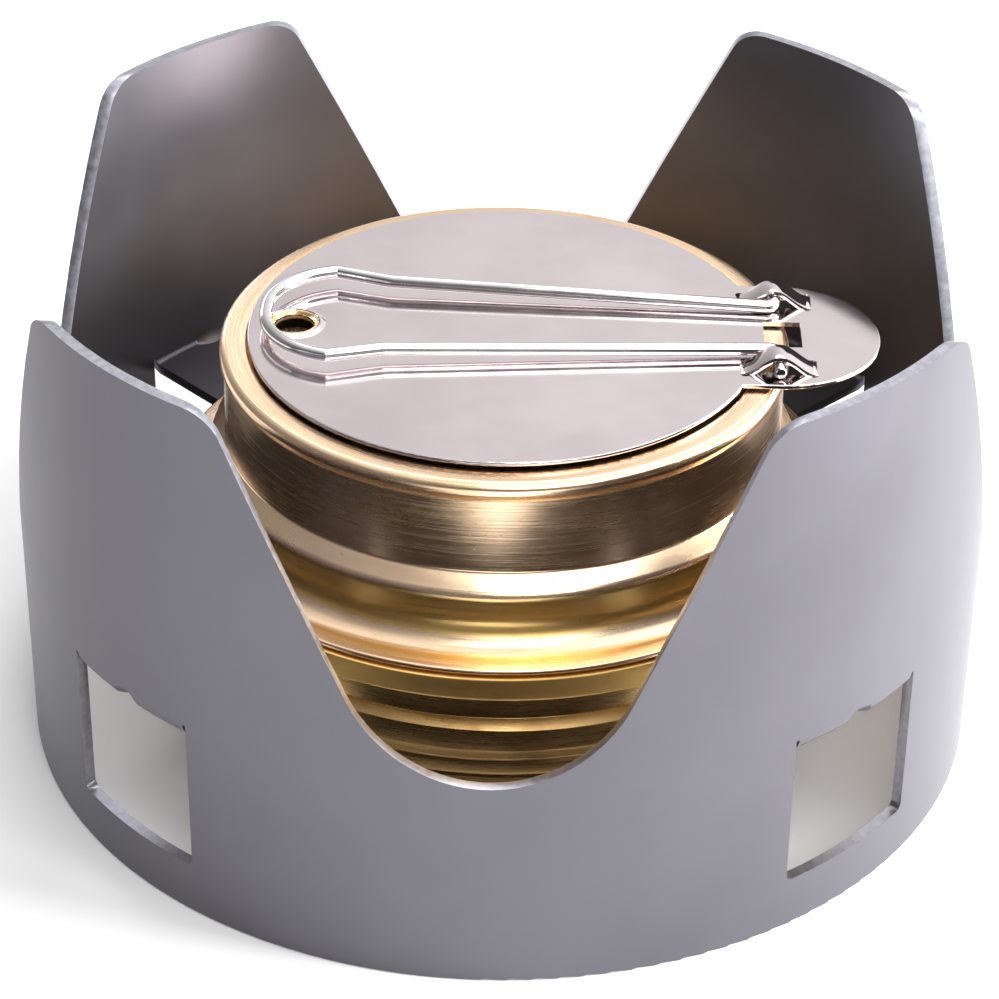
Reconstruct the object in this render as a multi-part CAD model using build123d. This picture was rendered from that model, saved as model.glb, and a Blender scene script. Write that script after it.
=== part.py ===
"""Alcohol spirit stove: aluminium stand, brass burner, and simmer regulator with a folding wire handle.

Frame: millimetres, +Z up, origin at the centre of the stand's base ring. One notch of the stand faces
-Y, and the regulator's thumb tab points along +X.
"""
from build123d import *
import math
import os

# ---- stand ----
STAND_R = 52.6
STAND_HEIGHT = 61.2
STAND_WALL = 1.2
BASE_EDGE_R = 0.4
PRONGS = 4
NOTCH_FLOOR_Z = 24.2
NOTCH_TOP_HALF = 26.4
NOTCH_SLOPE_DEG = 24.2
PRONG_CORNER_R = 4.0
WINDOW_WIDTH = 17.8
WINDOW_SILL_Z = 6.1
WINDOW_CORNER_R = 0.8
TAB_WIDTH = 17.0
TAB_TOP_Z = 23.2
TAB_TIP_R = 35.9
TAB_BEND_R = 0.6
RIB_GROOVE_R = 2.6
RIB_DEPTH = 0.8
RIB_LENGTH = 4.4
CUT_OVERLAP = 0.1

# ---- burner ----
SHEET = 0.6
CUP_FLOOR_Z = 1.0
CUP_R = 35.0
CUP_CORNER_R = 3.5
CUP_DISH = 0.8
WELL_FLOOR_Z = CUP_FLOOR_Z + CUP_DISH + SHEET
INSIDE_CORNER_R = 2.8
CUP_BEAD_R = 35.5
CUP_BEAD_Z = (15.6, 18.6)
UNDERCUT_R = 34.3
UNDERCUT_Z = 19.4
SHOULDER_R = 37.0
SHOULDER_Z = (23.3, 26.1)
SHOULDER_LIP_R = 0.5
TURNED_LINES_Z = (8.0, 12.6, 14.4)
LINE_DEPTH = 0.15
NECK_ROOT_R = 31.6
THREAD_CORE_R = 30.2
THREAD_CREST = 0.6
THREAD_PITCH = 1.5
THREAD_TURNS = 4
THREAD_Z = 27.4
NECK_TOP_R = 28.8
NECK_STEP_Z = (33.4, 34.8)
NECK_TOP_Z = 42.9
NECK_RIM_R = 1.2
WELL_R = 23.0
JET_COUNT = 24
JET_RING_R = 25.8
JET_R = 0.45
WELL_SLOTS = 6
WICK_GAP = 0.4

# ---- regulator ----
CAP_SHEET = 0.6
CAP_OPENING_R = 19.0
CAP_RECESS_R = 27.5
CAP_FLOOR_TOP_Z = 44.2
CAP_TOP_Z = 45.0
CAP_RIM_R = 30.5
CAP_SKIRT_R = 30.1
CAP_BAND_R = 32.0
CAP_FOOT_R = 36.6
CAP_FOOT_Z = 26.25
CAP_STEP_Z = (32.0, 34.6)
CAP_STEP_R = (1.5, 0.5)
CAP_SLOPE_DEG = 48.0
CAP_FLARE_Z = 30.2
CAP_FLARE_R = 3.2
CAP_RIM_ROUND = 0.9

# ---- shutter ----
DISC_R = 27.4
DISC_THICK = 0.5
DISC_BOTTOM_Z = 45.3
DISC_EDGE_R = 0.12
TAB_CENTRE_X = 29.3
TAB_R = 10.8
HINGE_X = 29.0
LOOP_Y = (5.8, 8.6)
LOOP_FOOT_HALF = 4.1
LOOP_FOOT_LENGTH = 0.7
LOOP_STEPS = 28
LOOP_SLOT_HALF = 3.6
RELIEF_R = 0.45
TAB_SLOT = (27.7, 31.7, 2.7)
PIVOT_X = -22.5
PIVOT_BORE_R = 2.46
COLLAR_R = 3.4
COLLAR_HEIGHT = 0.32

# ---- pivot ----
EYELET_R = 2.4
EYELET_WALL = 0.3
EYELET_FLARE = 0.3
EYELET_TOP_Z = 46.05
EYELET_FOOT_R = 3.3
WASHER_R = 3.4

# ---- handle ----
WIRE_R = 0.7
HINGE_Z = 46.6
HINGE_CLEARANCE = 0.05
WIRE_END_Y = 9.8
ARM_ROOT_Y = 4.6
ARM_NECK = (-12.5, 7.4)
BOW_R = 9.5
BOW_CENTRE_X = -16.0
BOW_KINK_DEG = 105.0
BEND_RADII = (1.0, 4.0, 1.0, 8.8)
HANDLE_RISE_DEG = 0.8


def turned(points):
    """Revolve a closed outline of (radius, height) points about the Z axis."""
    with BuildPart() as ring:
        with BuildSketch(Plane.XZ):
            with BuildLine():
                Polyline(*points, close=True)
            make_face()
        revolve(axis=Axis.Z)
    return ring.part


def tube(outer, inner, low, high):
    """A plain tube about the Z axis."""
    return turned([(inner, low), (outer, low), (outer, high), (inner, high)])


def arc_points(centre, radius, start_deg, end_deg, steps=8):
    """Points along an arc in a turned outline, both ends included."""
    span = math.radians(end_deg - start_deg)
    first = math.radians(start_deg)
    angles = [first + span * i / steps for i in range(steps + 1)]
    return [(centre[0] + radius * math.cos(a), centre[1] + radius * math.sin(a)) for a in angles]


# ---------------------------------------------------------------- stand

def notch_cutter():
    """Prism that leaves two prongs' flanks: sloping sides, a round floor and rounded prong corners."""
    slope = math.tan(math.radians(NOTCH_SLOPE_DEG))
    tip_z = STAND_HEIGHT - NOTCH_TOP_HALF / slope
    reach = 2 * STAND_R
    with BuildPart() as cutter:
        with BuildSketch(Plane.XZ) as outline:
            with BuildLine():
                Polyline(
                    (-reach, STAND_HEIGHT),
                    (-NOTCH_TOP_HALF, STAND_HEIGHT),
                    (0, tip_z),
                    (NOTCH_TOP_HALF, STAND_HEIGHT),
                    (reach, STAND_HEIGHT),
                    (reach, STAND_HEIGHT + 10),
                    (-reach, STAND_HEIGHT + 10),
                    close=True,
                )
            make_face()
            tip = outline.vertices().sort_by(Axis.Y)[0]
            fillet(tip, notch_floor_radius(tip_z))
            corners = [v for v in outline.vertices() if abs(abs(v.X) - NOTCH_TOP_HALF) < 0.01]
            fillet(corners, PRONG_CORNER_R)
        extrude(amount=reach, both=True)
    return cutter.part


def notch_floor_radius(tip_z):
    """Radius of the arc tangent to both flanks whose lowest point is the notch floor."""
    half = math.radians(NOTCH_SLOPE_DEG)
    return (NOTCH_FLOOR_Z - tip_z) * math.sin(half) / (1 - math.sin(half))


def window_cutter():
    """Window on the +X side of the wall, up to the bend of the tab that was folded out of it."""
    top = TAB_TOP_Z + TAB_BEND_R
    height = top - WINDOW_SILL_Z
    with BuildPart() as cutter:
        with BuildSketch(Plane.YZ.offset(STAND_R - 4)) as outline:
            with Locations((0, WINDOW_SILL_Z + height / 2)):
                Rectangle(WINDOW_WIDTH, height)
            sill_corners = outline.vertices().sort_by(Axis.Y)[:2]
            fillet(sill_corners, WINDOW_CORNER_R)
        extrude(amount=8)
    return cutter.part


def tab_and_bend():
    """Ledge folded inward from the top of a window, up to the end of its rounded bend."""
    outer_bend = TAB_BEND_R + STAND_WALL
    bend = (STAND_R - outer_bend, TAB_TOP_Z + TAB_BEND_R)
    outline = [(TAB_TIP_R - 6, TAB_TOP_Z - STAND_WALL)]
    outline += arc_points(bend, outer_bend, -90, 0)
    outline += arc_points(bend, TAB_BEND_R, 0, -90, 5)
    outline += [(TAB_TIP_R - 6, TAB_TOP_Z)]
    depth = STAND_R + 2 - TAB_TIP_R
    keep = Pos(TAB_TIP_R + depth / 2, 0, TAB_TOP_Z) * Box(depth, TAB_WIDTH, 12)
    tab = turned(outline) & keep
    tips = [e for e in tab.edges().filter_by(Axis.Z) if e.center().X < TAB_TIP_R + 0.1]
    return fillet(tips, 1.0)


def rib_rod(radius):
    """Rod at 45 degrees along the outside of the bend, the tool line of the stiffening rib."""
    outer_bend = TAB_BEND_R + STAND_WALL
    out = outer_bend + RIB_GROOVE_R - RIB_DEPTH
    x = STAND_R - outer_bend + out * math.cos(math.pi / 4)
    z = TAB_TOP_Z + TAB_BEND_R - out * math.sin(math.pi / 4)
    return Pos(x, 0, z) * Rot(0, 45, 0) * Cylinder(radius, RIB_LENGTH)


def make_stand():
    """One-piece drawn tube: four prongs, four windows and the four ledges that carry the burner."""
    wall = tube(STAND_R, STAND_R - STAND_WALL, 0, STAND_HEIGHT + 2)
    foot_edges = wall.edges().group_by(Axis.Z)[0]
    wall = fillet(foot_edges, BASE_EDGE_R)
    cutter = notch_cutter()
    wall = wall - cutter - Rot(0, 0, 90) * cutter
    from_base = (Align.CENTER, Align.CENTER, Align.MIN)
    inside_sheet = Cylinder(STAND_R - STAND_WALL / 2, STAND_HEIGHT, align=from_base)
    rib = rib_rod(RIB_GROOVE_R + STAND_WALL - CUT_OVERLAP)
    rib = rib & Pos(0, 0, TAB_TOP_Z - STAND_WALL / 2) * inside_sheet
    for index in range(PRONGS):
        turn = Rot(0, 0, 45 + 360 / PRONGS * index)
        wall = wall - turn * window_cutter()
        wall = wall + turn * tab_and_bend()
        wall = wall + turn * rib
        wall = wall - turn * rib_rod(RIB_GROOVE_R)
    return wall


# ---------------------------------------------------------------- burner

def make_burner_cup():
    """Lower shell: floor, body, undercut and the wide shoulder band that rests on the ledges."""
    corner = (CUP_R - CUP_CORNER_R, CUP_FLOOR_Z + CUP_CORNER_R)
    low, high = SHOULDER_Z
    lip = (SHOULDER_R - SHOULDER_LIP_R, low + SHOULDER_LIP_R)
    bead_low, bead_high = CUP_BEAD_Z
    outer = [(0, CUP_FLOOR_Z + CUP_DISH), (24, CUP_FLOOR_Z + CUP_DISH), (26, CUP_FLOOR_Z)]
    outer += arc_points(corner, CUP_CORNER_R, -90, 0)
    for z in TURNED_LINES_Z:
        outer += [(CUP_R, z - 0.25), (CUP_R - LINE_DEPTH, z), (CUP_R, z + 0.25)]
    outer += [(CUP_R, bead_low), (CUP_BEAD_R, bead_low + 0.4), (CUP_BEAD_R, bead_high)]
    outer += [(UNDERCUT_R, UNDERCUT_Z), (UNDERCUT_R, low - 0.6), (UNDERCUT_R + 0.6, low)]
    outer += arc_points(lip, SHOULDER_LIP_R, -90, 0, 5)
    outer += [(SHOULDER_R, high - 0.15), (SHOULDER_R - 0.15, high)]
    band_inner = SHOULDER_R - SHEET - 0.1
    wall_in = UNDERCUT_R - SHEET
    inner = [(band_inner, high), (band_inner, low + SHEET + 0.1), (wall_in, low + SHEET + 0.1)]
    inner += [(wall_in, CUP_FLOOR_Z + CUP_CORNER_R)]
    inside = INSIDE_CORNER_R
    inner += arc_points((wall_in - inside, WELL_FLOOR_Z + inside), inside, 0, -90)
    inner += [(0, WELL_FLOOR_Z)]
    return turned(outer + inner)


def neck_outer():
    """Outside of the neck from the shoulder seam up to the rim, with the thread's ridges."""
    seat = SHOULDER_R - SHEET - 0.1
    points = [(seat, SHOULDER_Z[0] + SHEET + 0.1), (seat, SHOULDER_Z[1] - 0.1), (NECK_ROOT_R, THREAD_Z - 0.5)]
    points += [(THREAD_CORE_R, THREAD_Z)]
    for turn in range(THREAD_TURNS):
        z = THREAD_Z + 0.15 + turn * THREAD_PITCH
        crest = THREAD_CORE_R + THREAD_CREST
        points += [(THREAD_CORE_R, z), (crest, z + 0.4), (crest, z + 0.7), (THREAD_CORE_R, z + 1.1)]
    points += [(THREAD_CORE_R, NECK_STEP_Z[0]), (NECK_TOP_R, NECK_STEP_Z[1])]
    rim_centre = (NECK_TOP_R - NECK_RIM_R, NECK_TOP_Z - NECK_RIM_R)
    return points + arc_points(rim_centre, NECK_RIM_R, 0, 90)


def make_burner_neck():
    """Upper shell: flange in the shoulder band, threaded neck, rolled rim and the ring of jets."""
    core = THREAD_CORE_R - SHEET
    top = NECK_TOP_R - SHEET
    lip_in = WELL_R + SHEET + 0.1
    rim = NECK_RIM_R - SHEET
    inner = [(lip_in, NECK_TOP_Z), (lip_in, NECK_TOP_Z - 3), (lip_in + SHEET, NECK_TOP_Z - 3)]
    inner += [(lip_in + SHEET, NECK_TOP_Z - SHEET)]
    inner += arc_points((top - rim, NECK_TOP_Z - NECK_RIM_R), rim, 90, 0, 4)
    inner += [(top, NECK_STEP_Z[1]), (core, NECK_STEP_Z[0]), (core, THREAD_Z - 0.6)]
    inner += [(core + 0.8, THREAD_Z - 1.6), (core + 0.8, SHOULDER_Z[0] + SHEET + 0.1)]
    shell = turned(neck_outer() + inner)
    jet = Pos(JET_RING_R, 0, NECK_TOP_Z) * Cylinder(JET_R, 4)
    for index in range(JET_COUNT):
        shell = shell - Rot(0, 0, 360 / JET_COUNT * (index + 0.5)) * jet
    return shell


def make_fuel_well():
    """Inner wall that holds the spirit; slots at its foot let the spirit through to the wick."""
    floor = WELL_FLOOR_Z
    wall = tube(WELL_R + SHEET, WELL_R, floor, NECK_TOP_Z - 0.5)
    slot = Pos(WELL_R, 0, floor + 1.5) * Box(4, 6, 3)
    for index in range(WELL_SLOTS):
        wall = wall - Rot(0, 0, 360 / WELL_SLOTS * index) * slot
    return wall


def make_wick():
    """Cotton wick packed in the space between the inner wall and the cup."""
    floor = WELL_FLOOR_Z + WICK_GAP
    inner = WELL_R + SHEET + WICK_GAP
    outer = UNDERCUT_R - SHEET - WICK_GAP - INSIDE_CORNER_R
    ring = tube(outer, inner, floor, SHOULDER_Z[0] - 1)
    return fillet(ring.edges(), 0.6)


# ---------------------------------------------------------------- regulator

def cap_side(thickness):
    """Side of the cap from the skirt down to the flare, at a depth under its outer surface."""
    low_z, high_z = CAP_STEP_Z
    low_r, high_r = CAP_STEP_R
    slope, end = 180 + CAP_SLOPE_DEG, 262
    side = arc_points((CAP_SKIRT_R + high_r, high_z), high_r + thickness, 180, slope)
    side += arc_points((CAP_BAND_R - low_r, low_z), low_r - thickness, CAP_SLOPE_DEG, 0)
    side += arc_points((CAP_BAND_R + CAP_FLARE_R, CAP_FLARE_Z), CAP_FLARE_R + thickness, 180, end)
    return side


def make_regulator_cap():
    """Spun brass cap: recessed floor, flat rim, skirt, sloping step and flared foot over the shoulder."""
    t = CAP_SHEET
    floor_top, top = CAP_FLOOR_TOP_Z, CAP_TOP_Z
    rim = (CAP_RIM_R - CAP_RIM_ROUND, top - CAP_RIM_ROUND)
    outer = [(CAP_OPENING_R, floor_top), (CAP_RECESS_R - 0.3, floor_top), (CAP_RECESS_R, floor_top + 0.3)]
    outer += [(CAP_RECESS_R, top - 0.2), (CAP_RECESS_R + 0.2, top)]
    outer += arc_points(rim, CAP_RIM_ROUND, 90, 0)
    outer += [(CAP_RIM_R, top - 1.3), (CAP_SKIRT_R, top - 1.9)]
    outer += cap_side(0)
    outer += [(CAP_FOOT_R, CAP_FOOT_Z + t + 0.05), (CAP_FOOT_R, CAP_FOOT_Z), (CAP_FOOT_R - 1.6, CAP_FOOT_Z)]
    inner = cap_side(t)[::-1]
    inner += [(CAP_SKIRT_R - t, top - 1.7)]
    inner += arc_points(rim, CAP_RIM_ROUND - t, 0, 90, 4)
    inner += [(CAP_RECESS_R + t, top - t), (CAP_RECESS_R + t, floor_top - 0.3)]
    inner += [(CAP_RECESS_R + 0.3, floor_top - t), (CAP_OPENING_R, floor_top - t)]
    cap = turned(outer + inner)
    return cap - Pos(PIVOT_X, 0, floor_top) * Cylinder(EYELET_R, 4)


# ---------------------------------------------------------------- shutter

def arch_line(half, drop):
    """Smooth bell curve over the hinge axis, at a depth under the strip's upper surface."""
    rise = HINGE_Z + WIRE_R + HINGE_CLEARANCE - DISC_BOTTOM_Z
    turn = math.pi / LOOP_FOOT_HALF
    points = []
    for i in range(LOOP_STEPS + 1):
        x = half * (2 * i / LOOP_STEPS - 1)
        slope = rise / 2 * turn * math.sin(turn * x)
        height = DISC_BOTTOM_Z + DISC_THICK + rise / 2 * (1 + math.cos(turn * x))
        points.append((x, height - drop * math.hypot(1, slope)))
    return points


def arch_prism(half, drop, base_z):
    """Solid under a bell curve, as wide as the strip."""
    low, high = LOOP_Y
    with BuildPart() as prism:
        with BuildSketch(Plane.XZ.offset(-low)):
            with BuildLine():
                Polyline(*arch_line(half, drop), (half, base_z), (-half, base_z), close=True)
            make_face()
        extrude(amount=low - high)
    return Pos(HINGE_X, 0, 0) * prism.part


def lanced_loop():
    """Strip raised out of the sheet over the handle's hinge axis."""
    outside = arch_prism(LOOP_FOOT_HALF, 0, DISC_BOTTOM_Z)
    inside = arch_prism(LOOP_FOOT_HALF - LOOP_FOOT_LENGTH, DISC_THICK, DISC_BOTTOM_Z - 1)
    return outside - inside


def lance_slot():
    """Opening that a raised strip leaves in the sheet, with relief holes at its corners."""
    low, high = LOOP_Y
    middle = (low + high) / 2
    slot = Pos(HINGE_X, middle, DISC_BOTTOM_Z) * Box(2 * LOOP_SLOT_HALF, high - low, 4)
    for x in (-LOOP_SLOT_HALF, LOOP_SLOT_HALF):
        for y in (low, high):
            slot = slot + Pos(HINGE_X + x, y, DISC_BOTTOM_Z) * Cylinder(RELIEF_R, 4)
    return slot


def make_shutter_disc():
    """Thin steel disc that closes the cap: thumb tab, lightening slot and two hinge loops."""
    middle_z = DISC_BOTTOM_Z + DISC_THICK / 2
    disc = Pos(0, 0, middle_z) * Cylinder(DISC_R, DISC_THICK)
    disc = disc + Pos(TAB_CENTRE_X / 2, 0, middle_z) * Box(TAB_CENTRE_X, 2 * TAB_R, DISC_THICK)
    disc = disc + Pos(TAB_CENTRE_X, 0, middle_z) * Cylinder(TAB_R, DISC_THICK)
    disc = fillet(disc.edges().filter_by(GeomType.CIRCLE), DISC_EDGE_R)
    slot_low, slot_high, slot_half = TAB_SLOT
    slot_x = (slot_low + slot_high) / 2
    disc = disc - Pos(slot_x, 0, middle_z) * Box(slot_high - slot_low, 2 * slot_half, 4)
    loop, slot = lanced_loop(), lance_slot()
    for side in (0, 1):
        flip = Pos(2 * HINGE_X * side, 0, 0) * Rot(0, 0, 180 * side)
        disc = disc - flip * slot
        disc = disc + flip * loop
    return add_pivot_collar(disc)


def add_pivot_collar(disc):
    """Drawn ring around the pivot hole, with a countersink that the eyelet's flare turns in."""
    top = DISC_BOTTOM_Z + DISC_THICK
    sink_z = EYELET_TOP_Z - HINGE_CLEARANCE / 2
    collar = turned([
        (PIVOT_BORE_R, DISC_BOTTOM_Z),
        (COLLAR_R, DISC_BOTTOM_Z),
        (COLLAR_R, top),
        (COLLAR_R - 0.35, top + COLLAR_HEIGHT * 0.8),
        (COLLAR_R - 0.6, top + COLLAR_HEIGHT),
        (PIVOT_BORE_R + EYELET_FLARE, top + COLLAR_HEIGHT),
        (PIVOT_BORE_R + EYELET_FLARE, sink_z),
        (PIVOT_BORE_R, sink_z - EYELET_FLARE),
    ])
    here = Pos(PIVOT_X, 0, 0)
    disc = disc - here * Pos(0, 0, top) * Cylinder(COLLAR_R - 0.2, 4)
    return disc + here * collar


def make_pivot_eyelet():
    """Brass rivet that pins the shutter to the cap: hollow barrel, flared top and rolled foot."""
    inner = EYELET_R - EYELET_WALL
    foot = CAP_FLOOR_TOP_Z - CAP_SHEET
    flare_z = EYELET_TOP_Z - EYELET_FLARE
    barrel = turned([
        (inner, foot - 0.4),
        (EYELET_FOOT_R, foot - 0.4),
        (EYELET_FOOT_R, foot),
        (EYELET_R, foot),
        (EYELET_R, flare_z),
        (EYELET_R + EYELET_FLARE, EYELET_TOP_Z),
        (inner + EYELET_FLARE, EYELET_TOP_Z),
        (inner, flare_z),
    ])
    return Pos(PIVOT_X, 0, 0) * barrel


def make_pivot_washer():
    """Spacer that holds the shutter just above the cap's rim so that it can swing out."""
    washer = tube(WASHER_R, PIVOT_BORE_R, CAP_FLOOR_TOP_Z, DISC_BOTTOM_Z - HINGE_CLEARANCE)
    return Pos(PIVOT_X, 0, 0) * washer


# ---------------------------------------------------------------- handle

def handle_path():
    """Centre line of the hairpin in plan, relative to the hinge axis."""
    kink = math.radians(BOW_KINK_DEG)
    kink_x = BOW_CENTRE_X + BOW_R * math.cos(kink)
    kink_y = BOW_R * math.sin(kink)
    left = BOW_CENTRE_X - BOW_R
    bow_y = kink_y - (kink_x - left) / math.tan(math.pi - kink)
    neck_x, neck_y = ARM_NECK
    half = [(HINGE_X, WIRE_END_Y), (HINGE_X, ARM_ROOT_Y), (neck_x, neck_y), (kink_x, kink_y), (left, bow_y)]
    other = [(x, -y) for x, y in reversed(half)]
    return [(x - HINGE_X, y) for x, y in half + other]


def make_wire_handle():
    """Steel wire hairpin: bow round the pivot, two arms, ends turned out into the loops."""
    with BuildPart() as wire:
        with BuildLine() as path:
            FilletPolyline(*handle_path(), radius=[*BEND_RADII, *BEND_RADII[::-1]])
        centre_line = path.wires()[0]
        with BuildSketch(Plane(origin=centre_line @ 0, z_dir=centre_line % 0)):
            Circle(WIRE_R)
        sweep(path=centre_line)
    ends = [e for e in wire.part.edges().filter_by(GeomType.CIRCLE) if abs(e.center().Y) > WIRE_END_Y - 0.01]
    rod = fillet(ends, 0.25)
    return Pos(HINGE_X, 0, HINGE_Z) * Rot(0, HANDLE_RISE_DEG, 0) * rod


NODES = {
    "stand": make_stand,
    "burner_cup": make_burner_cup,
    "burner_neck": make_burner_neck,
    "fuel_well": make_fuel_well,
    "wick": make_wick,
    "regulator_cap": make_regulator_cap,
    "shutter_disc": make_shutter_disc,
    "pivot_eyelet": make_pivot_eyelet,
    "pivot_washer": make_pivot_washer,
    "wire_handle": make_wire_handle,
}

os.makedirs("parts", exist_ok=True)
for name, make in NODES.items():
    export_step(make(), f"parts/{name}.step")
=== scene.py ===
"""Alcohol spirit stove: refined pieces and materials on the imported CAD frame, and a soft studio."""

import bmesh
import bpy
import math
from mathutils import Matrix, Vector


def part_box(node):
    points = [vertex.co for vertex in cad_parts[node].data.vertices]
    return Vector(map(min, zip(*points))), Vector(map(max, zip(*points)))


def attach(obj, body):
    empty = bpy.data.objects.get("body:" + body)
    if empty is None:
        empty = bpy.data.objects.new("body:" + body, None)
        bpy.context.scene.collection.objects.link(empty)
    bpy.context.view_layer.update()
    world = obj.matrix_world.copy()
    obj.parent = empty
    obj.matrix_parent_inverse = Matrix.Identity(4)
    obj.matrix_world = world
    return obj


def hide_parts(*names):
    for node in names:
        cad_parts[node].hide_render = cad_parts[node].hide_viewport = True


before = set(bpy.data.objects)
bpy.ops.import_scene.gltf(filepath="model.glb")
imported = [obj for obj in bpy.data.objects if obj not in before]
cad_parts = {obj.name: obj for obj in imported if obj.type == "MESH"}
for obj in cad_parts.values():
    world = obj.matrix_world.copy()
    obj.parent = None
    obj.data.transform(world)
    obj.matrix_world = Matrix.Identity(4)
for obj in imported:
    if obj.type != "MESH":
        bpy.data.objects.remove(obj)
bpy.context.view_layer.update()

MM = 0.001
MICRON = 0.000001
TURN_STEPS = 240

# ---- camera, millimetres and degrees, before the object's own turn ----
CAMERA_BACK = 296.45
CAMERA_HEIGHT = 212.08
CAMERA_PITCH = 32.377
CAMERA_ROLL = 0.73
CAMERA_YAW = 0.056
OBJECT_TURN = 1.15
LENS = 114.41
SENSOR = 36.0

# ---- stand, millimetres ----
STAND_WALL = 1.2
LEDGE_BEND_Z = (21.5, 24.0)
LEDGE_HALF = 8.4

# ---- brass sheet and the lower shell's section, millimetres in from its shoulder or up from its floor ----
SHEET = 0.6
CUP_BODY_IN, CUP_UNDERCUT_IN, CUP_BEAD_IN = 2.0, 2.7, 1.5
CUP_DISH = 0.8
CUP_DISH_R = (24, 26)
CUP_FOOT_ROUND, CUP_INSIDE_ROUND = 3.5, 2.8
CUP_LINES_Z = (7.0, 11.6, 13.4)
CUP_LINE_DEPTH, CUP_LINE_HALF = 0.15, 0.3
CUP_BEAD_Z = (14.6, 15.0, 17.6, 18.4)
CUP_BAND = 2.8
CUP_BAND_CHAMFER = 0.6
CUP_BAND_ROUND = (0.5, 0.25)
CUP_LINING_GAP = 0.1

# ---- regulator cap's section, millimetres in from its foot or down from its top ----
CAP_OPENING_IN, CAP_RECESS_IN, CAP_RIM_IN, CAP_SKIRT_IN, CAP_BAND_IN = 17.6, 9.1, 6.1, 6.5, 4.6
CAP_RECESS_DEPTH = 0.8
CAP_RECESS_ROUND = (0.3, 0.25)
CAP_RIM_ROUND = 0.9
CAP_NECK_DOWN = (1.25, 1.6, 2.1)
CAP_NECK_OUT, CAP_NECK_INNER_DOWN = 0.2, 1.7
CAP_STEP_DOWN, CAP_STEP_RISE = 13.0, 2.6
CAP_STEP_R = (1.5, 0.5)
CAP_SLOPE_DEG = 48
CAP_FLARE_DOWN, CAP_FLARE_R, CAP_FLARE_END_DEG = 14.8, 3.2, 262
CAP_FOOT_R, CAP_FOOT_IN = 0.33, 1.6

# ---- rivet and washer on the pivot, millimetres ----
RIVET_R, RIVET_BORE_R, RIVET_FLARE, RIVET_FOOT = 2.4, 2.1, 0.3, 0.4
# radius, fade and depths of the painted shade inside the rivet's bore
RIVET_SHADE_R, RIVET_SHADE_FADE, RIVET_SHADE_DOWN = 2.13, 0.12, (0.9, 0.45)
WASHER_BORE_R = 2.46
PIVOT_STEPS = 96

# ---- the handle's wire, as it is bent: hinge axis at (x, z), plan places, bend radii ----
HINGE = (29.0, 46.6)
WIRE_R = 0.7
WIRE_END_Y = 9.8
ARM_ROOT_Y = 4.6
ARM_NECK = (-12.5, 7.4)
BOW_R = 9.5
BOW_CENTRE_X = -16.0
BOW_KINK_DEG = 105.0
BEND_RADII = (1.0, 4.0, 1.0, 8.8)
HANDLE_RISE_DEG = 0.8
WIRE_NOSE = 0.3
WIRE_SIDES = 24
NOSE_STEPS = (0.0, 0.35, 0.8, 1.2, math.pi / 2)

# ---- rounding of edges: millimetres, and the angles that count as flat, sharp or creased ----
CUP_ROUND, CAP_ROUND = 0.12, 0.08
STAND_ROUND, NECK_ROUND, WELL_ROUND, DISC_ROUND, WICK_ROUND = 0.16, 0.06, 0.08, 0.05, 0.3
FLAT_DEG, SHARP_DEG, CREASE_DEG = 0.3, 20, 35
MAX_CUT = 0.4

# ---- tolerances: metres to weld, millimetres to an axis or a wall, and what is level ----
WELD = 1e-7
ON_AXIS, ON_WALL = 1e-6, 0.02
LEVEL, SMALL_FACE = 0.99999, 0.4

# ---- colours, linear ----
GREY_LIGHT, GREY_DARK = (0.14, 0.136, 0.154), (0.122, 0.118, 0.134)
EDGE_DARK, EDGE_LIGHT = (0.34, 0.34, 0.385), (0.44, 0.445, 0.5)
BURNER_BRIGHT, BURNER_DULL = (0.86, 0.62, 0.31), (0.68, 0.45, 0.2)
CAP_BRIGHT, CAP_DULL = (0.95, 0.7, 0.47), (0.78, 0.54, 0.3)
# painted reflection: golden colours for the band that stands in for brass reflected in brass
PAINTED_REFLECTION_BRIGHT, PAINTED_REFLECTION_DULL = (0.98, 0.66, 0.24), (0.8, 0.46, 0.13)
# painted shade: brown colours for the burner's darkened undercut and lower body
PAINTED_SHADE_BRIGHT, PAINTED_SHADE_DULL = (0.5, 0.32, 0.13), (0.2, 0.11, 0.04)
BRASS_PIT = (0.12, 0.06, 0.02)
RIVET_DULL, RIVET_BRIGHT = (0.7, 0.5, 0.26), (0.86, 0.66, 0.4)
# painted shade colour for the inside of the rivet's bore
BORE_PAINTED_SHADE = (0.006, 0.005, 0.004)
STEEL = (0.82, 0.74, 0.76)
WIRE_DULL, WIRE_BRIGHT = (0.66, 0.64, 0.65), (0.8, 0.78, 0.79)
COTTON_DARK, COTTON_LIGHT = (0.52, 0.46, 0.36), (0.78, 0.74, 0.66)
FLOOR_PALE = (0.93, 0.93, 0.935, 1.0)
STUDIO_WHITE = (1.0, 0.985, 0.985, 1.0)

# ---- heights of the brass's painted bands, painted reflection and painted shade, millimetres from the cap's foot or top ----
REFLECTION_OVER_SEAM = (0.5, 2.0)
CAP_REFLECTION_DOWN = 12.6
SHADE_BAND_GAP = 0.1

# ---- studio: floor in metres; softboxes as name, place, size in millimetres, and watts ----
FLOOR_HALF = 3.0
SOFTBOX_AIM = (0, 0, 30)
SOFTBOXES = (
    ("key", (640, -60, 220), (420, 260), 14.0),
    ("front_right", (340, -390, 500), (900, 300), 2.6),
    ("front_high", (40, -300, 640), (120, 260), 0.7),
    ("back_top", (54, 387, 580), (460, 230), 0.9),
)
# World brightness along x, y and z: from, to, and its values there.
WORLD_SIDE = (-1.0, 0.7, 0.22, 1.0)
WORLD_DEPTH = (-0.8, 0.3, 0.33, 1.2)
WORLD_ABOVE = (0.55, 0.95, 1.0, 1.9)


# ---------------------------------------------------------------- measuring the frame

def low(node):
    """Lowest corner of a CAD node, millimetres."""
    return Vector(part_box(node)[0]) / MM


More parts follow.
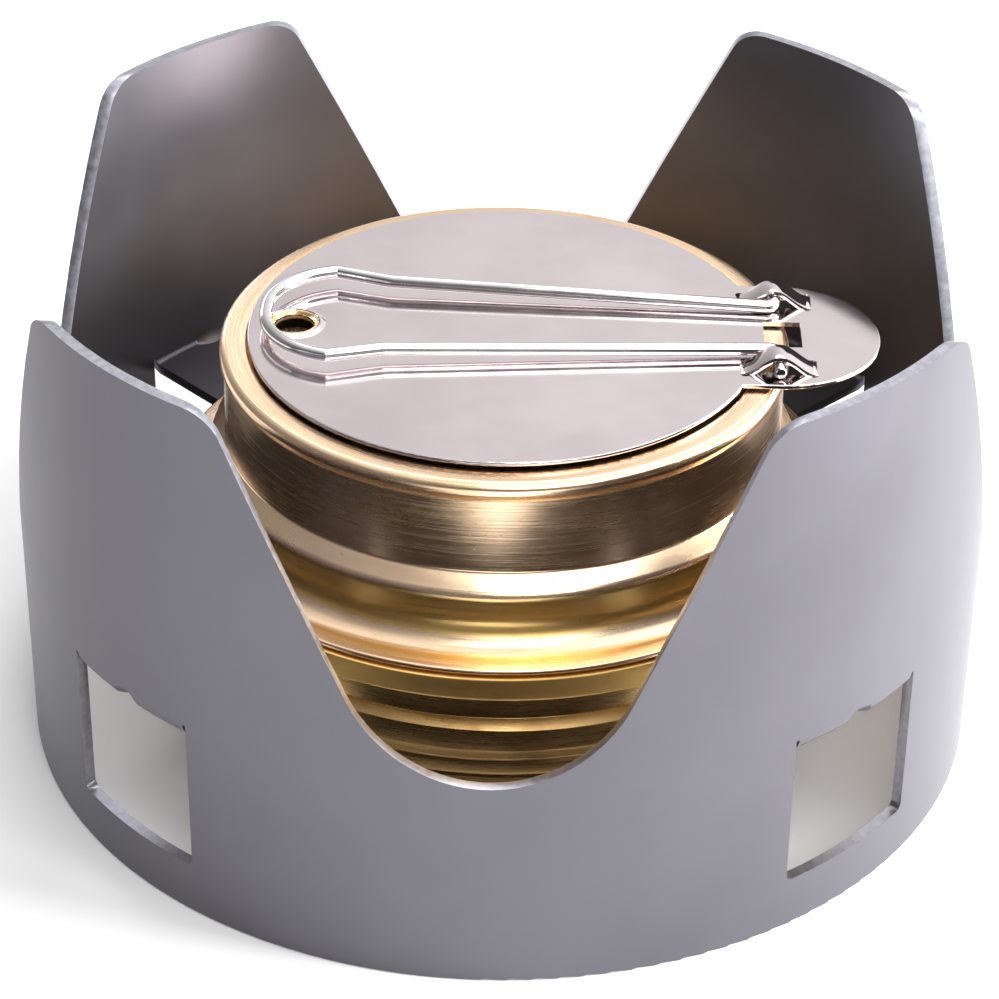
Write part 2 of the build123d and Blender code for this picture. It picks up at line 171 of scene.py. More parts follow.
def high(node):
    """Highest corner of a CAD node, millimetres."""
    return Vector(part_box(node)[1]) / MM


# ---------------------------------------------------------------- meshes

def new_object(name, mesh):
    """Link a mesh to the scene as an object."""
    piece = bpy.data.objects.new(name, mesh)
    bpy.context.scene.collection.objects.link(piece)
    return piece


def arc(centre, radius, start_deg, end_deg, steps=10):
    """Points along an arc of a turned outline, both ends included."""
    points = []
    for i in range(steps + 1):
        a = math.radians(start_deg + (end_deg - start_deg) * i / steps)
        points.append((centre[0] + radius * math.cos(a), centre[1] + radius * math.sin(a)))
    return points


def softened(outline, radius, steps=3):
    """The outline with every real corner rounded by up to a radius; shallow joints of arcs stay."""
    result = []
    count = len(outline)
    for i, point in enumerate(outline):
        here = Vector(point)
        before, after = Vector(outline[i - 1]), Vector(outline[(i + 1) % count])
        a, b = before - here, after - here
        turn = math.pi - a.angle(b, 0.0) if a.length and b.length else 0.0
        if turn < math.radians(SHARP_DEG) or here.x < ON_AXIS:
            result.append(tuple(here))
            continue
        cut = min(radius * math.tan(turn / 2), MAX_CUT * a.length, MAX_CUT * b.length)
        start, end = here + a.normalized() * cut, here + b.normalized() * cut
        for s in range(steps + 1):
            t = s / steps
            result.append(tuple((1 - t) ** 2 * start + 2 * t * (1 - t) * here + t ** 2 * end))
    return result


def spun(name, outline, centre=(0.0, 0.0), steps=TURN_STEPS):
    """Turn a closed outline of (radius, height) millimetre points about a vertical axis."""
    mesh = bpy.data.meshes.new(name)
    bm = bmesh.new()
    rings = []
    for r, z in outline:
        if r < ON_AXIS:
            rings.append([bm.verts.new((centre[0] * MM, centre[1] * MM, z * MM))] * steps)
            continue
        ring = []
        for k in range(steps):
            a = 2 * math.pi * k / steps
            x, y = centre[0] + r * math.cos(a), centre[1] + r * math.sin(a)
            ring.append(bm.verts.new((x * MM, y * MM, z * MM)))
        rings.append(ring)
    for i, ring in enumerate(rings):
        after = rings[(i + 1) % len(rings)]
        for k in range(steps):
            corners = [ring[k], ring[(k + 1) % steps], after[(k + 1) % steps], after[k]]
            unique = list(dict.fromkeys(corners))
            if len(unique) >= 3:
                bm.faces.new(unique)
    bmesh.ops.recalc_face_normals(bm, faces=bm.faces)
    bm.to_mesh(mesh)
    bm.free()
    mesh.shade_smooth()
    return new_object(name, mesh)


def bent(corners, radii, step=math.radians(5)):
    """An open plan path with every inner corner turned into an arc of its own radius."""
    path = [Vector(corners[0])]
    for before, here, after, radius in zip(corners, corners[1:], corners[2:], radii):
        here = Vector(here)
        back, on = (Vector(before) - here).normalized(), (Vector(after) - here).normalized()
        half = back.angle(on) / 2
        centre = here + (back + on).normalized() * (radius / math.sin(half))
        start = here + back * (radius / math.tan(half)) - centre
        end = here + on * (radius / math.tan(half)) - centre
        sweep = start.angle_signed(end)
        count = max(2, round(abs(sweep) / step))
        for i in range(count + 1):
            a = -sweep * i / count
            path.append(centre + Matrix.Rotation(a, 2) @ start)
    path.append(Vector(corners[-1]))
    return path


def rod(name, path, radius, sides=WIRE_SIDES):
    """Round bar along a plan path, with rounded ends, in millimetres about the path's own origin."""
    bm = bmesh.new()
    first, last = (path[0] - path[1]).normalized(), (path[-1] - path[-2]).normalized()
    nose = [(WIRE_NOSE * (1 - math.cos(a)), radius - WIRE_NOSE * (1 - math.sin(a))) for a in NOSE_STEPS]
    stations = [(path[0] - first * along, size) for along, size in nose]
    stations += [(point, radius) for point in path[1:-1]]
    stations += [(path[-1] - last * along, size) for along, size in reversed(nose)]
    rings = []
    for i, (point, size) in enumerate(stations):
        ahead = stations[min(i + 1, len(stations) - 1)][0]
        behind = stations[max(i - 1, 0)][0]
        along = (ahead - behind).normalized()
        side = Vector((along.y, -along.x, 0))
        ring = []
        for k in range(sides):
            a = 2 * math.pi * k / sides
            flat = point + Vector((side.x, side.y)) * (size * math.cos(a))
            ring.append(bm.verts.new((flat.x * MM, flat.y * MM, size * math.sin(a) * MM)))
        rings.append(ring)
    for one, two in zip(rings, rings[1:]):
        for k in range(sides):
            bm.faces.new((one[k], one[(k + 1) % sides], two[(k + 1) % sides], two[k]))
    bm.faces.new(rings[0])
    bm.faces.new(rings[-1])
    bmesh.ops.recalc_face_normals(bm, faces=bm.faces)
    mesh = bpy.data.meshes.new(name)
    bm.to_mesh(mesh)
    bm.free()
    mesh.shade_smooth()
    return new_object(name, mesh)


def refined(name, node, bevel, segments=2):
    """A new piece from a CAD node's mesh, with its sharp edges rolled over."""
    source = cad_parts[node]
    mesh = source.data.copy()
    mesh.name = name
    bm = bmesh.new()
    bm.from_mesh(mesh)
    bmesh.ops.remove_doubles(bm, verts=bm.verts, dist=WELD)
    bmesh.ops.dissolve_limit(bm, angle_limit=math.radians(FLAT_DEG), verts=bm.verts, edges=bm.edges)
    bm.to_mesh(mesh)
    bm.free()
    piece = new_object(name, mesh)
    rounding = piece.modifiers.new("edges", "BEVEL")
    rounding.width = bevel * MM
    rounding.segments = segments
    rounding.limit_method = "ANGLE"
    rounding.angle_limit = math.radians(CREASE_DEG)
    settle(piece)
    smooth(piece)
    return piece


def settle(piece):
    """Turn a piece's modifiers into its mesh."""
    seen = piece.evaluated_get(bpy.context.evaluated_depsgraph_get())
    mesh = bpy.data.meshes.new_from_object(seen)
    piece.modifiers.clear()
    piece.data = mesh


def true_normals(piece, walls=()):
    """Exact normals on level faces and on upright walls of given radii, carried into their rolled edges."""
    mesh = piece.data
    level = {}
    for face in mesh.polygons:
        if abs(face.normal.z) > LEVEL and face.area > (SMALL_FACE * MM) ** 2:
            for corner in face.vertices:
                level[corner] = math.copysign(1.0, face.normal.z)
    normals = [(0.0, 0.0, 0.0)] * len(mesh.loops)
    for face in mesh.polygons:
        for corner, index in zip(face.vertices, face.loop_indices):
            x, y, _ = mesh.vertices[corner].co / MM
            radius = math.hypot(x, y)
            out = (face.normal.x * x + face.normal.y * y) / max(radius, 1e-6)
            if corner in level and face.normal.z * level[corner] > 0.5:
                normals[index] = (0.0, 0.0, level[corner])
            elif any(abs(radius - wall) < ON_WALL for wall in walls) and abs(out) > 0.5:
                side = math.copysign(1.0 / radius, out)
                normals[index] = (x * side, y * side, 0.0)
    mesh.normals_split_custom_set(normals)


def smooth(piece):
    """Smooth shading that keeps sharp edges."""
    bpy.context.view_layer.objects.active = piece
    piece.select_set(True)
    bpy.ops.object.shade_smooth_by_angle(angle=math.radians(CREASE_DEG))
    piece.select_set(False)


def place(piece, body, slot, material, *nodes):
    """Ride on a body, stand for CAD nodes, and take a material; the slot argument is not used."""
    if not piece.data.materials:
        piece.data.materials.append(material)
    else:
        piece.data.materials[0] = material
    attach(piece, body)
    if nodes:
        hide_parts(*nodes)
    return piece


# ---------------------------------------------------------------- material helpers

class Look:
    """A Principled material with short calls for the nodes that vary it."""

    def __init__(self, name, metallic, roughness):
        self.material = bpy.data.materials.new(name)
        self.material.use_nodes = True
        self.tree = self.material.node_tree
        self.shader = self.tree.nodes["Principled BSDF"]
        self.shader.inputs["Metallic"].default_value = metallic
        self.shader.inputs["Roughness"].default_value = roughness
        self.coords = self.node("ShaderNodeTexCoord").outputs["Object"]

    def node(self, kind, **settings):
        made = self.tree.nodes.new(kind)
        for key, value in settings.items():
            setattr(made, key, value)
        return made

    def link(self, output, target):
        self.tree.links.new(output, target)

    def math(self, operation, a, b=0.0):
        made = self.node("ShaderNodeMath", operation=operation)
        for socket, value in zip(made.inputs, (a, b)):
            if isinstance(value, (int, float)):
                socket.default_value = value
            else:
                self.link(value, socket)
        return made.outputs[0]

    def length(self, x, y):
        squares = (self.math("MULTIPLY", x, x), self.math("MULTIPLY", y, y))
        return self.math("SQRT", self.math("ADD", *squares))

    def split(self, vector):
        made = self.node("ShaderNodeSeparateXYZ")
        self.link(vector, made.inputs[0])
        return made.outputs

    def join(self, x, y, z):
        made = self.node("ShaderNodeCombineXYZ")
        for socket, value in zip(made.inputs, (x, y, z)):
            if isinstance(value, (int, float)):
                socket.default_value = value
            else:
                self.link(value, socket)
        return made.outputs[0]

    def scaled(self, scale):
        made = self.node("ShaderNodeMapping")
        made.inputs["Scale"].default_value = scale
        self.link(self.coords, made.inputs["Vector"])
        return made.outputs[0]

    def noise(self, scale, detail=3.0, vector=None, rough=0.55):
        made = self.node("ShaderNodeTexNoise")
        made.inputs["Scale"].default_value = scale
        made.inputs["Detail"].default_value = detail
        made.inputs["Roughness"].default_value = rough
        self.link(vector or self.coords, made.inputs["Vector"])
        return made.outputs["Fac"]

    def cells(self, scale):
        made = self.node("ShaderNodeTexVoronoi")
        made.inputs["Scale"].default_value = scale
        self.link(self.coords, made.inputs["Vector"])
        return made.outputs["Distance"]

    def span(self, value, from_low, from_high, to_low, to_high):
        made = self.node("ShaderNodeMapRange")
        made.interpolation_type = "SMOOTHSTEP"
        for index, number in enumerate((from_low, from_high, to_low, to_high), 1):
            made.inputs[index].default_value = number
        self.link(value, made.inputs[0])
        return made.outputs[0]

    def mix(self, factor, a, b):
        made = self.node("ShaderNodeMix", data_type="RGBA")
        self.link(factor, made.inputs["Factor"])
        for socket, value in ((made.inputs[6], a), (made.inputs[7], b)):
            if isinstance(value, tuple):
                socket.default_value = (*value, 1.0)
            else:
                self.link(value, socket)
        return made.outputs[2]

    def bump(self, height, distance, strength=1.0, under=None):
        made = self.node("ShaderNodeBump")
        made.inputs["Strength"].default_value = strength
        made.inputs["Distance"].default_value = distance
        self.link(height, made.inputs["Height"])
        if under is not None:
            self.link(under, made.inputs["Normal"])
        return made.outputs[0]

    def around(self, along, across, radial=None):
        """Coordinates that run round the Z axis: lines stretched along the turn."""
        x, y, z = self.split(self.coords)
        angle = self.math("ARCTAN2", y, x)
        radius = self.length(x, y)
        outward = self.math("MULTIPLY", radius, radial or across)
        return self.join(
            self.math("MULTIPLY", self.math("COSINE", angle), along),
            self.math("MULTIPLY", self.math("SINE", angle), along),
            self.math("ADD", self.math("MULTIPLY", z, across), outward),
        )

    def colour(self, output):
        self.link(output, self.shader.inputs["Base Color"])

    def rough(self, output):
        self.link(output, self.shader.inputs["Roughness"])

    def normal(self, output):
        self.link(output, self.shader.inputs["Normal"])


def anodised():
    """Satin anodised aluminium: a very fine grain and a slight cloudiness."""
    look = Look("anodised_grey", 0.92, 0.42)
    cloud = look.noise(38.0, 4.0)
    grain = look.noise(9000.0, 2.0, rough=0.7)
    drawn = look.noise(1.0, 3.0, look.scaled((5200.0, 5200.0, 260.0)))
    look.colour(look.mix(look.span(cloud, 0.3, 0.7, 0.0, 1.0), GREY_DARK, GREY_LIGHT))
    cloudy = look.span(cloud, 0.25, 0.75, 0.36, 0.43)
    look.rough(look.math("ADD", cloudy, look.span(grain, 0.2, 0.8, -0.03, 0.03)))
    fine = look.bump(drawn, 3 * MICRON, 0.6)
    look.normal(look.bump(grain, 4 * MICRON, 0.6, fine))
    return look.material


def bare_edge():
    """Freshly cut aluminium edge: brighter, with fine shear marks across it."""
    look = Look("cut_edge", 1.0, 0.3)
    marks = look.noise(1.0, 4.0, look.scaled((1400.0, 1400.0, 1400.0)))
    look.colour(look.mix(look.span(marks, 0.3, 0.7, 0.0, 1.0), EDGE_DARK, EDGE_LIGHT))
    look.rough(look.span(marks, 0.2, 0.8, 0.3, 0.42))
    look.normal(look.bump(marks, 4 * MICRON, 0.5))
    return look.material


def zone(look, start, end, soft=0.25):
    """One between two heights in millimetres, nought outside them."""
    z = look.split(look.coords)[2]
    above = look.span(z, (start - soft) * MM, (start + soft) * MM, 0.0, 1.0)
    below = look.span(z, (end - soft) * MM, (end + soft) * MM, 1.0, 0.0)
    return look.math("MULTIPLY", above, below)


def brass(name, bright, dull, rough_low, rough_high, reflection_band, painted_shade_band=None, reflection_band_rough=0.1):
    """Spun brass: lines round the turn, tarnish, pits, a golden band of painted reflection and painted shade
    below it.
    """
    look = Look(name, 1.0, 0.22)
    lines = look.noise(1.0, 5.0, look.around(2.2, 5200.0), 0.65)
    bands = look.noise(1.0, 2.0, look.around(0.5, 620.0), 0.5)
    tarnish = look.noise(95.0, 5.0, rough=0.6)
    streak = look.noise(1.0, 3.0, look.around(6.0, 900.0), 0.6)
    tarnished = look.span(tarnish, 0.45, 0.72, 0.0, 1.0)
    patch = look.math("MULTIPLY", tarnished, look.span(streak, 0.35, 0.65, 0.2, 1.0))
    pitted = look.span(look.cells(900.0), 0.05, 0.11, 1.0, 0.0)
    spots = look.math("MULTIPLY", pitted, look.span(look.noise(240.0), 0.55, 0.62, 0.0, 1.0))
    base = look.mix(patch, bright, dull)
    # painted reflection: a golden band between two heights stands in for reflected brass
    painted_reflection = zone(look, *reflection_band)
    base = look.mix(painted_reflection, base, look.mix(patch, PAINTED_REFLECTION_BRIGHT, PAINTED_REFLECTION_DULL))
    # painted shade: brown below the golden band, over the undercut and lower body
    if painted_shade_band:
        base = look.mix(zone(look, *painted_shade_band), base, look.mix(patch, PAINTED_SHADE_BRIGHT, PAINTED_SHADE_DULL))
    base = look.mix(look.math("MULTIPLY", spots, 0.7), base, BRASS_PIT)
    look.colour(base)
    turned = look.span(lines, 0.25, 0.75, rough_low, rough_high)
    worn = look.math("ADD", turned, look.math("MULTIPLY", patch, 0.08))
    look.rough(look.math("ADD", worn, look.math("MULTIPLY", painted_reflection, reflection_band_rough)))
    ridges = look.bump(bands, 30 * MICRON, 0.35, look.bump(lines, 12 * MICRON, 0.55))
    look.normal(look.bump(spots, -40 * MICRON, 0.5, ridges))
    look.shader.inputs["Anisotropic"].default_value = 0.7
    tangent = look.node("ShaderNodeTangent", direction_type="RADIAL", axis="Z")
    look.link(tangent.outputs[0], look.shader.inputs["Tangent"])
    return look.material


def bore_shade_mask(look, centre_x, top):
    """Painted shade: darken a hollow rivet's bore below its bright flare."""
    x, y, z = look.split(look.coords)
    off = look.math("SUBTRACT", x, centre_x * MM)
    radius = look.length(off, y)
    edge = RIVET_SHADE_R + RIVET_SHADE_FADE
    inside = look.span(radius, RIVET_SHADE_R * MM, edge * MM, 1.0, 0.0)
    low_z, high_z = ((top - depth) * MM for depth in RIVET_SHADE_DOWN)
    deep = look.span(z, low_z, high_z, 1.0, 0.0)
    return look.math("MULTIPLY", inside, deep)


def rivet_brass():
    """Brass of the hollow rivet, with painted shade inside its bore."""
    look = Look("rivet_brass", 1.0, 0.25)
    foot, top = low("pivot_eyelet"), high("pivot_eyelet")
    bore_shade = bore_shade_mask(look, (foot.x + top.x) / 2, top.z)
    lines = look.noise(1100.0, 3.0)
    clean = look.mix(look.span(lines, 0.3, 0.7, 0.0, 1.0), RIVET_DULL, RIVET_BRIGHT)
    # painted shade: the bore is mixed towards near black
    look.colour(look.mix(bore_shade, clean, BORE_PAINTED_SHADE))
    look.rough(look.math("ADD", look.span(lines, 0.3, 0.7, 0.2, 0.3), look.math("MULTIPLY", bore_shade, 0.5)))
    look.normal(look.bump(lines, 10 * MICRON, 0.4))
    return look.material


def steel(roughness=0.09):
    """Polished stainless sheet with hairline scratches."""
    look = Look("polished_sheet", 1.0, roughness)
    hairline = look.noise(1.0, 4.0, look.scaled((60.0, 3800.0, 60.0)), 0.7)
    haze = look.noise(70.0, 3.0)
    darker = tuple(0.9 * c for c in STEEL)
    look.colour(look.mix(look.span(haze, 0.3, 0.7, 0.0, 1.0), darker, STEEL))
    look.rough(look.math("ADD", look.span(haze, 0.3, 0.7, 0.6 * roughness, 1.5 * roughness),
                         look.span(hairline, 0.5, 0.8, 0.0, 0.05)))
    look.normal(look.bump(hairline, 2 * MICRON, 0.25))
    return look.material


def wire_steel():
    """Bright drawn wire."""
    look = Look("bright_wire", 1.0, 0.1)
    drawn = look.noise(1.0, 3.0, look.scaled((120.0, 4200.0, 4200.0)), 0.6)
    haze = look.noise(220.0, 3.0)
    look.colour(look.mix(look.span(haze, 0.3, 0.7, 0.0, 1.0), WIRE_DULL, WIRE_BRIGHT))
    look.rough(look.span(drawn, 0.3, 0.8, 0.07, 0.16))
    look.normal(look.bump(drawn, 2 * MICRON, 0.4))
    return look.material


def cotton():
    """Packed cotton wick: fibrous, matt, a little singed and spirit-stained."""
    look = Look("cotton_wick", 0.0, 0.95)
    fibre = look.noise(1.0, 6.0, look.around(14.0, 2200.0, 700.0), 0.7)
    clump = look.noise(420.0, 5.0)
    look.colour(look.mix(look.span(clump, 0.3, 0.7, 0.0, 1.0), COTTON_DARK, COTTON_LIGHT))
    look.rough(look.span(fibre, 0.2, 0.8, 0.85, 1.0))
    look.normal(look.bump(fibre, 300 * MICRON, 0.9, look.bump(clump, 600 * MICRON, 0.8)))
    look.shader.inputs["Sheen Weight"].default_value = 0.4
    return look.material


# ---------------------------------------------------------------- burner

def cup_outline():
    """Lower shell's section, from the middle of the floor outwards and back inside."""
    floor, top = low("burner_cup").z, high("burner_cup").z
    shoulder = high("burner_cup").x
    body, undercut, bead = shoulder - CUP_BODY_IN, shoulder - CUP_UNDERCUT_IN, shoulder - CUP_BEAD_IN
    band_low = top - CUP_BAND
    dish = floor + CUP_DISH
    flat_r, rim_r = CUP_DISH_R
    outer = [(0, dish), (flat_r, dish), (rim_r, floor)]
    outer += arc((body - CUP_FOOT_ROUND, floor + CUP_FOOT_ROUND), CUP_FOOT_ROUND, -90, 0)
    for height in CUP_LINES_Z:
        z = floor + height
        outer += [(body, z - CUP_LINE_HALF), (body - CUP_LINE_DEPTH, z), (body, z + CUP_LINE_HALF)]
    bead_radii = (body, bead, bead, undercut)
    outer += [(radius, floor + height) for radius, height in zip(bead_radii, CUP_BEAD_Z)]
    outer += [(undercut, band_low - CUP_BAND_CHAMFER), (undercut + CUP_BAND_CHAMFER, band_low)]
    under_round, top_round = CUP_BAND_ROUND
    outer += arc((shoulder - under_round, band_low + under_round), under_round, -90, 0, 6)
    outer += arc((shoulder - top_round, top - top_round), top_round, 0, 90, 4)
    lining = SHEET + CUP_LINING_GAP
    band_in, wall_in = shoulder - lining, undercut - SHEET
    inner = [(band_in, top), (band_in, band_low + lining), (wall_in, band_low + lining)]
    inner += [(wall_in, floor + CUP_FOOT_ROUND)]
    inner += arc((wall_in - CUP_INSIDE_ROUND, dish + SHEET + CUP_INSIDE_ROUND), CUP_INSIDE_ROUND, 0, -90)
    inner += [(0, dish + SHEET)]
    return outer + inner


def cap_side(band, skirt, step_z, flare_z, under):
    """Side of the cap from the skirt over the sloping step to the flare, at a depth under its surface."""
    over, below = CAP_STEP_R
    side = arc((skirt + below, step_z + CAP_STEP_RISE), below + under, 180, 180 + CAP_SLOPE_DEG, 10)
    side += arc((band - over, step_z), over - under, CAP_SLOPE_DEG, 0, 16)
    return side + arc((band + CAP_FLARE_R, flare_z), CAP_FLARE_R + under, 180, CAP_FLARE_END_DEG, 28)


def cap_outline():
    """Regulator cap's section, counted from the opening over the rim and down to the flared foot."""
    top, foot_z, foot = high("regulator_cap").z, low("regulator_cap").z, high("regulator_cap").x
    insets = (CAP_OPENING_IN, CAP_RECESS_IN, CAP_RIM_IN, CAP_SKIRT_IN, CAP_BAND_IN)
    opening, recess, rim, skirt, band = (foot - inset for inset in insets)
    floor, step_z, flare_z = top - CAP_RECESS_DEPTH, top - CAP_STEP_DOWN, top - CAP_FLARE_DOWN
    low_round, high_round = CAP_RECESS_ROUND
    outer = [(opening, floor), (recess - low_round, floor), (recess, floor + low_round)]
    outer += [(recess, top - high_round)]
    outer += arc((recess + high_round, top - high_round), high_round, 180, 90, 4)
    rim_centre = (rim - CAP_RIM_ROUND, top - CAP_RIM_ROUND)
    outer += arc(rim_centre, CAP_RIM_ROUND, 90, 0, 12)
    outer += [(radius, top - down) for radius, down in zip((rim, skirt + CAP_NECK_OUT, skirt), CAP_NECK_DOWN)]
    outer += cap_side(band, skirt, step_z, flare_z, 0)
    outer += arc((foot - CAP_FOOT_R, foot_z + CAP_FOOT_R), CAP_FOOT_R, 80, -80, 8)
    inner = [(foot - CAP_FOOT_IN, foot_z)] + cap_side(band, skirt, step_z, flare_z, SHEET)[::-1]
    inner += [(skirt - SHEET, top - CAP_NECK_INNER_DOWN)]
    inner += arc(rim_centre, CAP_RIM_ROUND - SHEET, 0, 90, 5)
    inner += [(recess + SHEET, top - SHEET), (recess + SHEET, floor - low_round)]
    inner += [(recess + low_round, floor - SHEET), (opening, floor - SHEET)]
    return outer + inner


def make_cup(look):
    """Spun lower shell of the burner."""
    cup = spun("burner_cup_spun", softened(cup_outline(), CUP_ROUND))
    return place(cup, "burner", "burner_brass", look, "burner_cup")


def make_neck(look):
    """Threaded upper shell, with its ring of jets bored through the rim."""
    neck = refined("burner_neck_spun", "burner_neck", NECK_ROUND)
    return place(neck, "burner", "burner_brass", look, "burner_neck")


def make_well(look):
    """Inner wall round the spirit."""
    well = refined("fuel_well_spun", "fuel_well", WELL_ROUND)
    return place(well, "burner", "burner_brass", look, "fuel_well")


def make_wick(look):
    """Packed cotton ring with rounded edges."""
    return place(refined("wick_packed", "wick", WICK_ROUND), "burner", "cotton", look, "wick")


# ---------------------------------------------------------------- regulator, shutter and handle

def make_cap(look):
    """Spun regulator cap."""
    cap = spun("regulator_cap_spun", softened(cap_outline(), CAP_ROUND))
    return place(cap, "regulator", "cap_brass", look, "regulator_cap")


def make_stand(look, edge_look):
    """Stand with rolled edges; faces cut through the sheet show bare metal."""
    stand = refined("stand_drawn", "stand", STAND_ROUND, 3)
    outer = high("stand").x
    true_normals(stand, (outer, outer - STAND_WALL))
    stand.data.materials.clear()
    stand.data.materials.append(look)
    stand.data.materials.append(edge_look)
    mark_cut_faces(stand, outer)
    return place(stand, "stand", "anodised_aluminium", look, "stand")


def mark_cut_faces(stand, outer):
    """Give the faces cut through the wall the second material, but not the ledges' bends."""
    for face in stand.data.polygons:
        x, y, z = face.center / MM
        radius = math.hypot(x, y)
        across = abs(abs(math.remainder(math.atan2(y, x), math.pi / 2)) - math.pi / 4) * radius
        in_sheet = outer - STAND_WALL + 0.05 < radius < outer - 0.05
        on_bend = LEDGE_BEND_Z[0] < z < LEDGE_BEND_Z[1] and across < LEDGE_HALF
        sideways = abs(face.normal.x * x + face.normal.y * y) / radius < 0.75
        if in_sheet and sideways and not on_bend:
            face.material_index = 1


def make_disc(look):
    """Shutter disc with loops, slot and collar."""
    disc = refined("shutter_disc_pressed", "shutter_disc", DISC_ROUND)
    true_normals(disc)
    return place(disc, "shutter", "polished_steel", look, "shutter_disc")


def spun_on_pivot(name, node, outline):
    """Turn an outline about the upright axis of a round CAD node."""
    foot, top = low(node), high(node)
    pivot = ((foot.x + top.x) / 2, (foot.y + top.y) / 2)
    return spun(name, softened(outline, CAP_ROUND), pivot, PIVOT_STEPS)


def make_eyelet(look):
    """Brass eyelet that pins the disc: hollow barrel, flared top and rolled foot."""
    foot, top = low("pivot_eyelet"), high("pivot_eyelet")
    foot_r, flare_z = (top.x - foot.x) / 2, top.z - RIVET_FLARE
    outline = [(RIVET_BORE_R, foot.z), (foot_r, foot.z), (foot_r, foot.z + RIVET_FOOT)]
    outline += [(RIVET_R, foot.z + RIVET_FOOT), (RIVET_R, flare_z), (RIVET_R + RIVET_FLARE, top.z)]
    outline += [(RIVET_BORE_R + RIVET_FLARE, top.z), (RIVET_BORE_R, flare_z)]
    eyelet = spun_on_pivot("pivot_eyelet_rolled", "pivot_eyelet", outline)
    return place(eyelet, "regulator", "cap_brass", look, "pivot_eyelet")


def make_washer(look):
    """Spacer washer under the disc."""
    foot, top = low("pivot_washer"), high("pivot_washer")
    outer = (top.x - foot.x) / 2
    outline = [(WASHER_BORE_R, foot.z), (outer, foot.z), (outer, top.z), (WASHER_BORE_R, top.z)]
    washer = spun_on_pivot("pivot_washer_turned", "pivot_washer", outline)
    return place(washer, "regulator", "cap_brass", look, "pivot_washer")


def handle_corners():
    """Corners of the hairpin's centre line in plan, from its hinge end round the bow and back."""
    kink = math.radians(BOW_KINK_DEG)
    kink_x, kink_y = BOW_CENTRE_X + BOW_R * math.cos(kink), BOW_R * math.sin(kink)
    left = BOW_CENTRE_X - BOW_R
    bow_y = kink_y - (kink_x - left) / math.tan(math.pi - kink)
    half = [(HINGE[0], WIRE_END_Y), (HINGE[0], ARM_ROOT_Y), ARM_NECK, (kink_x, kink_y), (left, bow_y)]
    corners = half + [(x, -y) for x, y in reversed(half)]
    return [(x - HINGE[0], y) for x, y in corners]


def make_handle(look):
    """Wire hairpin bent round the pivot, folded down on the disc."""
    radii = [*BEND_RADII, *BEND_RADII[::-1]]
    handle = rod("wire_handle_bent", bent(handle_corners(), radii), WIRE_R)
    lean = Matrix.Rotation(math.radians(HANDLE_RISE_DEG), 4, "Y")
    hinge = Matrix.Translation((HINGE[0] * MM, 0, HINGE[1] * MM))
    handle.data.transform(hinge @ lean)
    return place(handle, "handle", "handle_wire", look, "wire_handle")


# ---------------------------------------------------------------- studio

def make_floor():
    """Plain pale floor."""
    mesh = bpy.data.meshes.new("floor")
    half = FLOOR_HALF
    corners = [(-half, -half, 0), (half, -half, 0), (half, half, 0), (-half, half, 0)]
    mesh.from_pydata(corners, [], [(0, 1, 2, 3)])
    floor = new_object("floor", mesh)
    look = Look("pale_floor", 0.0, 0.9)
    look.shader.inputs["Base Color"].default_value = FLOOR_PALE
    look.shader.inputs["Specular IOR Level"].default_value = 0.1
    mesh.materials.append(look.material)


def softbox(name, place_at, size, power):
    """Rectangular area light, millimetres and watts."""
    light = bpy.data.lights.new(name, "AREA")
    light.shape = "RECTANGLE"
    light.size, light.size_y = size[0] * MM, size[1] * MM
    light.energy = power
    lamp = bpy.data.objects.new(name, light)
    bpy.context.scene.collection.objects.link(lamp)
    spot = Vector(place_at) * MM
    lamp.location = spot
    lamp.rotation_euler = (Vector(SOFTBOX_AIM) * MM - spot).to_track_quat("-Z", "Y").to_euler()


def make_world():
    """Soft white surroundings, brighter above, behind and to the right."""
    world = bpy.data.worlds.new("studio")
    bpy.context.scene.world = world
    world.use_nodes = True
    nodes, links = world.node_tree.nodes, world.node_tree.links
    back = nodes["Background"]
    coords = nodes.new("ShaderNodeTexCoord")
    parts = nodes.new("ShaderNodeSeparateXYZ")
    links.new(coords.outputs["Generated"], parts.inputs[0])

    def ramp(output, *numbers):
        made = nodes.new("ShaderNodeMapRange")
        made.interpolation_type = "SMOOTHSTEP"
        for index, number in enumerate(numbers, 1):
            made.inputs[index].default_value = number
        links.new(output, made.inputs[0])
        return made.outputs[0]

    def times(a, b):
        made = nodes.new("ShaderNodeMath")
        made.operation = "MULTIPLY"
        links.new(a, made.inputs[0])
        links.new(b, made.inputs[1])
        return made.outputs[0]

    side = ramp(parts.outputs[0], *WORLD_SIDE)
    depth = ramp(parts.outputs[1], *WORLD_DEPTH)
    above = ramp(parts.outputs[2], *WORLD_ABOVE)
    links.new(times(times(side, depth), above), back.inputs["Strength"])
    back.inputs["Color"].default_value = STUDIO_WHITE


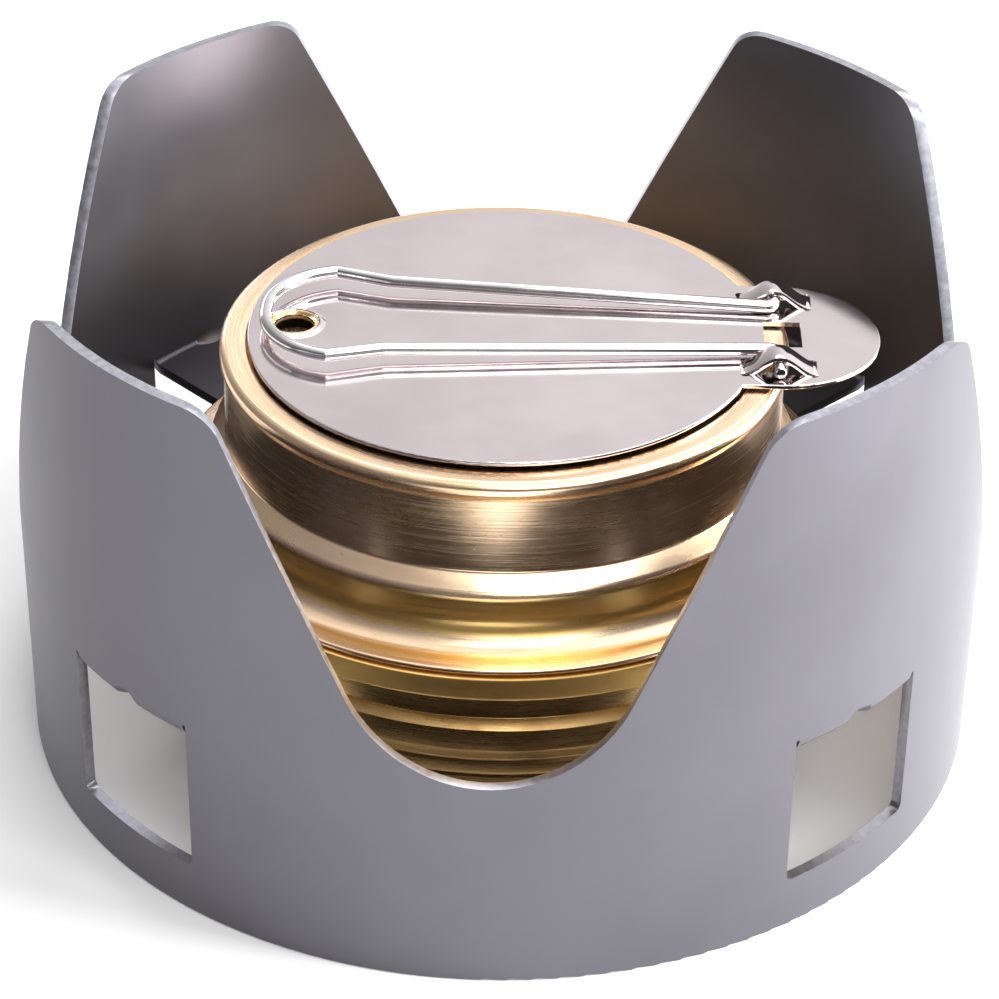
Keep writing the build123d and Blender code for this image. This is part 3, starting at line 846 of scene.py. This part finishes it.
def make_lights():
    """Key softbox from the right, two in front and one behind and above."""
    for name, place_at, size, power in SOFTBOXES:
        softbox(name, place_at, size, power)


def make_camera():
    """Camera above the front of the stove, with the object turned slightly under it."""
    data = bpy.data.cameras.new("camera")
    data.lens = LENS
    data.sensor_width = SENSOR
    data.clip_start = 0.01
    camera = bpy.data.objects.new("camera", data)
    bpy.context.scene.collection.objects.link(camera)
    pitch, roll = math.radians(CAMERA_PITCH), math.radians(CAMERA_ROLL)
    right, ahead = Vector((1, 0, 0)), Vector((0, math.cos(pitch), -math.sin(pitch)))
    up = right.cross(ahead)
    rolled_right = math.cos(roll) * right + math.sin(roll) * up
    rolled_up = math.cos(roll) * up - math.sin(roll) * right
    basis = Matrix((rolled_right, rolled_up, -ahead)).transposed().to_4x4()
    basis = Matrix.Rotation(math.radians(CAMERA_YAW), 4, "Z") @ basis
    basis.translation = Vector((0, -CAMERA_BACK * MM, CAMERA_HEIGHT * MM))
    camera.matrix_world = Matrix.Rotation(math.radians(OBJECT_TURN), 4, "Z") @ basis
    bpy.context.scene.camera = camera


def build():
    """All pieces, each on its body."""
    grey, edge = anodised(), bare_edge()
    seam = low("regulator_cap").z
    step = high("regulator_cap").z - CAP_REFLECTION_DOWN
    shoulder = high("burner_cup").z - CUP_BAND
    # heights of the painted reflection bands on burner and cap, and of the painted shade below the burner's
    # band
    burner_reflection_top, cap_reflection_from = (seam + height for height in REFLECTION_OVER_SEAM)
    burner = brass("burner_brass_spun", BURNER_BRIGHT, BURNER_DULL, 0.2, 0.36,
                   (shoulder, burner_reflection_top), (0, shoulder - SHADE_BAND_GAP), 0.3)
    cap = brass("cap_brass_spun", CAP_BRIGHT, CAP_DULL, 0.16, 0.3, (cap_reflection_from, step))
    make_stand(grey, edge)
    make_cup(burner)
    make_neck(burner)
    make_well(burner)
    make_wick(cotton())
    make_cap(cap)
    make_eyelet(rivet_brass())
    make_washer(cap)
    make_disc(steel())
    make_handle(wire_steel())


make_camera()
make_world()
make_lights()
make_floor()
build()
bpy.context.scene.view_settings.view_transform = "Standard"
